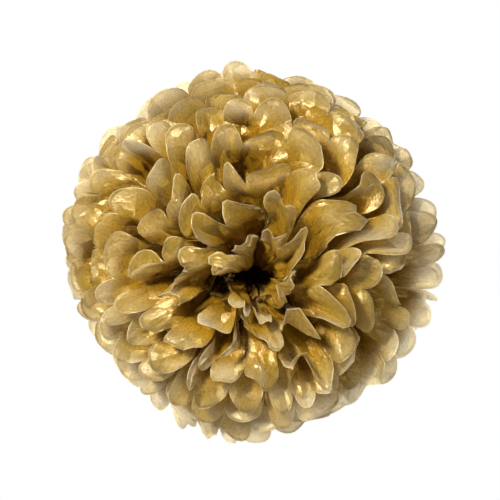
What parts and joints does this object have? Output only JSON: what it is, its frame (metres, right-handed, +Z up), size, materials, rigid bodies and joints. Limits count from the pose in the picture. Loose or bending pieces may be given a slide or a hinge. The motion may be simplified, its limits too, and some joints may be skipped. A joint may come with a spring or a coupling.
{
  "type": "tissue paper pom pom",
  "caption": "Hanging paper ball of layered, pleated tissue sheets with scalloped petal edges, gathered at the centre by a wire tie.",
  "frame": {"origin": "middle of the tie, where all the sheets are gathered, at the centre of the ball", "axes": "-Y along the pole that the front sheets are pulled up to, which is the side the picture shows; +Z up as it hangs"},
  "size_m": [0.2621, 0.2467, 0.2529],
  "materials": {
    "gold_tissue": "thin gold tissue paper, slightly glossy, lets light through",
    "tie_wire": "plain soft steel wire"
  },
  "bodies": {
    "root": {"tissue_sheet_01": "gold_tissue", "tissue_sheet_02": "gold_tissue", "tissue_sheet_03": "gold_tissue", "tissue_sheet_04": "gold_tissue", "tissue_sheet_05": "gold_tissue", "tissue_sheet_06": "gold_tissue", "tissue_sheet_07": "gold_tissue", "tissue_sheet_08": "gold_tissue", "tissue_sheet_09": "gold_tissue", "tissue_sheet_10": "gold_tissue", "tissue_sheet_11": "gold_tissue", "tissue_sheet_12": "gold_tissue", "tissue_sheet_13": "gold_tissue", "tissue_sheet_14": "gold_tissue", "wire_tie": "tie_wire"}
  },
  "joints": []
}
